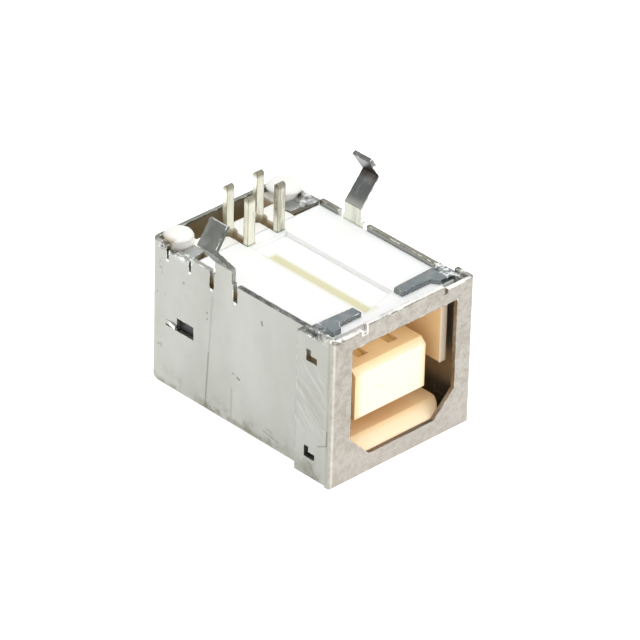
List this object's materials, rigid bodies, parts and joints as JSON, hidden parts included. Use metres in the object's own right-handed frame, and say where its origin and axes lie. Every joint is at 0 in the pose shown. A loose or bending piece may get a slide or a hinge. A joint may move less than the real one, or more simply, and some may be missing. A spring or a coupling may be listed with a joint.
{
  "type": "usb-b socket",
  "caption": "Right-angle board socket: folded metal shell with a bevelled square mouth, moulded housing with a tongue, board pins and kinked snap-in shell legs.",
  "frame": {"origin": "middle of the resting wall of the shell, opposite the board side", "axes": "+X across the mouth, +Y from the mouth to the rear wall, +Z towards the board, along the pins"},
  "size_m": [0.0142, 0.0166, 0.0145],
  "materials": {
    "shell_metal": "tin-plated sheet, satin",
    "housing_plastic": "moulded, matt",
    "spacer_plastic": "moulded, matt",
    "contact_metal": "plated, bright"
  },
  "bodies": {
    "root": {"shell": "shell_metal", "housing": "housing_plastic", "tail_spacer": "spacer_plastic", "contact_1": "contact_metal", "contact_2": "contact_metal", "contact_3": "contact_metal", "contact_4": "contact_metal"}
  },
  "joints": []
}
